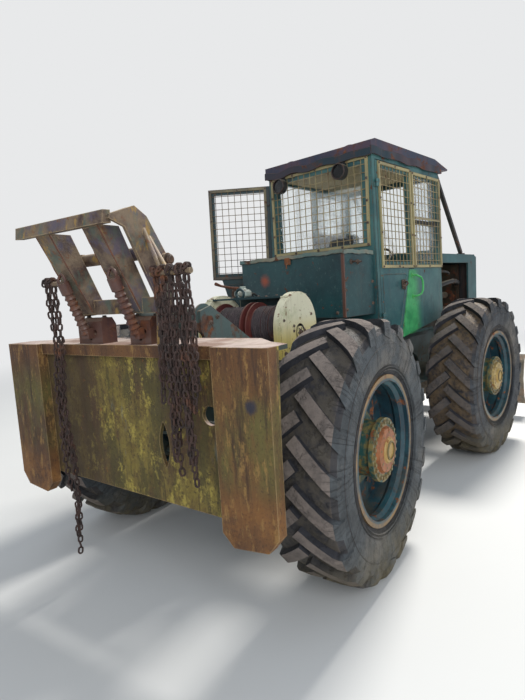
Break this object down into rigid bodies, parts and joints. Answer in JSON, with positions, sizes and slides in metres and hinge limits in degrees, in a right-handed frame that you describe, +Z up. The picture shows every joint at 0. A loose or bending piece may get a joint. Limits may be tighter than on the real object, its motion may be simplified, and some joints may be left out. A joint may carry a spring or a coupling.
{
  "type": "articulated forestry skidder",
  "caption": "Wheeled forestry tractor hinged at its middle, with a cab, a winch with drums, a lifting rear log plate and a front blade.",
  "frame": {"origin": "on the ground, under the middle of the box round the whole machine as it is parked", "axes": "+X forward along the rear frame, +Y to its left, +Z up; the front half is parked turned about 8 degrees to the right"},
  "size_m": [5.0895, 2.4734, 2.7133],
  "materials": {
    "black_paint": "satin",
    "black_plastic": "matte",
    "cream_paint": "chipped",
    "maroon_paint": "faded",
    "mesh_ochre": "faded ochre paint on wire",
    "rod_chrome": "polished rod",
    "rusty_iron": "rusty",
    "seat_cover": "black vinyl",
    "teal_paint": "faded, scratched",
    "tyre_rubber": "worn rubber, dusty",
    "window_glass": "clear",
    "worn_paint": "worn to rust and moss"
  },
  "bodies": {
    "rear": {"rear_frame": "teal_paint", "rear_axle": "teal_paint", "winch_housing": "cream_paint", "fairlead_arch": "teal_paint"},
    "front": {"front_frame": "teal_paint", "tow_tongue": "teal_paint", "entry_steps": "teal_paint", "front_axle": "teal_paint", "engine": "rusty_iron", "hood": "teal_paint", "exhaust": "rusty_iron", "cab_shell": "teal_paint", "cab_roof": "teal_paint", "cab_mesh": "mesh_ochre", "cab_glass": "window_glass", "seat": "seat_cover", "steering_wheel": "black_plastic", "rear_box": "teal_paint", "brush_bars": "teal_paint", "work_lights": "black_plastic"},
    "wheel_rear_left": {"tyre_rear_left": "tyre_rubber", "rim_rear_left": "teal_paint"},
    "wheel_rear_right": {"tyre_rear_right": "tyre_rubber", "rim_rear_right": "teal_paint"},
    "wheel_front_left": {"tyre_front_left": "tyre_rubber", "rim_front_left": "teal_paint"},
    "wheel_front_right": {"tyre_front_right": "tyre_rubber", "rim_front_right": "teal_paint"},
    "drum_left": {"winch_drum_left": "maroon_paint"},
    "drum_right": {"winch_drum_right": "maroon_paint"},
    "log_plate": {"log_plate": "worn_paint", "log_guard": "worn_paint", "rope_blocks": "rusty_iron", "choker_chains": "rusty_iron"},
    "lift_lower": {"lift_link_lower": "teal_paint"},
    "lift_upper": {"lift_link_upper": "teal_paint"},
    "lift_barrel": {"lift_barrels": "black_paint"},
    "lift_rod": {"lift_rods": "rod_chrome"},
    "steer_barrel_left": {"steer_barrel_left": "black_paint"},
    "steer_barrel_right": {"steer_barrel_right": "black_paint"},
    "steer_rod_left": {"steer_rod_left": "rod_chrome"},
    "steer_rod_right": {"steer_rod_right": "rod_chrome"},
    "door_left": {"door_left": "teal_paint", "door_mesh_left": "mesh_ochre"},
    "door_right": {"door_right": "teal_paint", "door_mesh_right": "mesh_ochre"},
    "blade": {"blade": "worn_paint"},
    "blade_barrel": {"blade_barrels": "black_paint"},
    "blade_rod": {"blade_rods": "rod_chrome"}
  },
  "joints": [
    {"name": "steer", "type": "hinge", "parent": "rear", "child": "front", "pos_m": [-0.182, 0.127, 0.85], "axis": [0, 0, 1], "range_deg": [-31.7, 48.3]},
    {"name": "wheel_rear_left", "type": "hinge", "parent": "rear", "child": "wheel_rear_left", "pos_m": [-1.448, 1.03, 0.708], "axis": [0, 1, 0], "continuous": true},
    {"name": "wheel_front_left", "type": "hinge", "parent": "front", "child": "wheel_front_left", "pos_m": [1.17833, 0.84111, 0.708], "axis": [0.1444, 0.9895, 0], "continuous": true},
    {"name": "wheel_rear_right", "type": "hinge", "parent": "rear", "child": "wheel_rear_right", "pos_m": [-1.448, -0.776, 0.708], "axis": [0, 1, 0], "continuous": true},
    {"name": "wheel_front_right", "type": "hinge", "parent": "front", "child": "wheel_front_right", "pos_m": [0.91763, -0.94598, 0.708], "axis": [0.1444, 0.9895, 0], "continuous": true},
    {"name": "drum_left", "type": "hinge", "parent": "rear", "child": "drum_left", "pos_m": [-1.047, 0.127, 1.345], "axis": [0, 1, 0], "continuous": true},
    {"name": "drum_right", "type": "hinge", "parent": "rear", "child": "drum_right", "pos_m": [-1.047, 0.127, 1.345], "axis": [0, 1, 0], "continuous": true},
    {"name": "door_left", "type": "hinge", "parent": "front", "child": "door_left", "pos_m": [0.04577, 0.66307, 1.83422], "axis": [-0.003, -0.0207, 0.9998], "range_deg": [-125, 5]},
    {"name": "door_right", "type": "hinge", "parent": "front", "child": "door_right", "pos_m": [-0.11687, -0.4518, 1.83422], "axis": [0.003, 0.0207, 0.9998], "range_deg": [-130, 0]},
    {"name": "plate_lift", "type": "hinge", "parent": "rear", "child": "lift_lower", "pos_m": [-1.682, 0.127, 0.6], "axis": [0, 1, 0], "range_deg": [-44, 4]},
    {"name": "plate_upper_link", "type": "hinge", "parent": "rear", "child": "lift_upper", "pos_m": [-1.682, 0.127, 0.86], "axis": [0, 1, 0], "range_deg": [-44.01, 4.01]},
    {"name": "plate_level", "type": "hinge", "parent": "lift_lower", "child": "log_plate", "pos_m": [-2.17993, 0.127, 1.01781], "axis": [0, 1, 0], "range_deg": [-4.01, 44.01]},
    {"name": "lift_barrel_swing", "type": "hinge", "parent": "rear", "child": "lift_barrel", "pos_m": [-1.332, 0.127, 1.08], "axis": [0, 1, 0], "range_deg": [-18.39, 1.68]},
    {"name": "lift_rod_slide", "type": "slide", "parent": "lift_barrel", "child": "lift_rod", "axis": [-0.9745, 0, -0.2245], "range_m": [-0.02326, 0.25487]},
    {"name": "blade_lift", "type": "hinge", "parent": "front", "child": "blade", "pos_m": [1.75747, -0.15594, 0.64], "axis": [-0.1444, -0.9895, 0], "range_deg": [-20, 32]},
    {"name": "blade_barrel_swing", "type": "hinge", "parent": "front", "child": "blade_barrel", "pos_m": [1.6981, -0.14728, 1.05], "axis": [-0.1444, -0.9895, 0], "range_deg": [-11.42, 18.26]},
    {"name": "blade_rod_slide", "type": "slide", "parent": "blade_barrel", "child": "blade_rod", "axis": [0.7328, -0.1069, -0.672], "range_m": [-0.16034, 0.10025]},
    {"name": "steer_barrel_left_swing", "type": "hinge", "parent": "rear", "child": "steer_barrel_left", "pos_m": [-0.842, 0.457, 0.85], "axis": [0, 0, 1], "range_deg": [-10.07, 15.34]},
    {"name": "steer_rod_left_slide", "type": "slide", "parent": "steer_barrel_left", "child": "steer_rod_left", "axis": [0.9988, -0.0493, 0], "range_m": [-0.28432, 0.18664]},
    {"name": "steer_barrel_right_swing", "type": "hinge", "parent": "rear", "child": "steer_barrel_right", "pos_m": [-0.842, -0.203, 0.85], "axis": [0, 0, 1], "range_deg": [-10.51, 16]},
    {"name": "steer_rod_right_slide", "type": "slide", "parent": "steer_barrel_right", "child": "steer_rod_right", "axis": [0.9989, -0.047, 0], "range_m": [-0.17313, 0.26374]}
  ],
  "couplings": [
    {"joint": "plate_upper_link", "follows": "plate_lift", "ratio": 1},
    {"joint": "plate_level", "follows": "plate_lift", "ratio": -1},
    {"joint": "lift_barrel_swing", "follows": "plate_lift", "ratio": 0.41777},
    {"joint": "lift_rod_slide", "follows": "plate_lift", "m_per_rad": -0.33176},
    {"joint": "blade_barrel_swing", "follows": "blade_lift", "ratio": 0.57035},
    {"joint": "blade_rod_slide", "follows": "blade_lift", "m_per_rad": -0.28691},
    {"joint": "steer_barrel_left_swing", "follows": "steer", "ratio": 0.31743},
    {"joint": "steer_rod_left_slide", "follows": "steer", "m_per_rad": -0.33716},
    {"joint": "steer_barrel_right_swing", "follows": "steer", "ratio": 0.33111},
    {"joint": "steer_rod_right_slide", "follows": "steer", "m_per_rad": 0.31274}
  ]
}
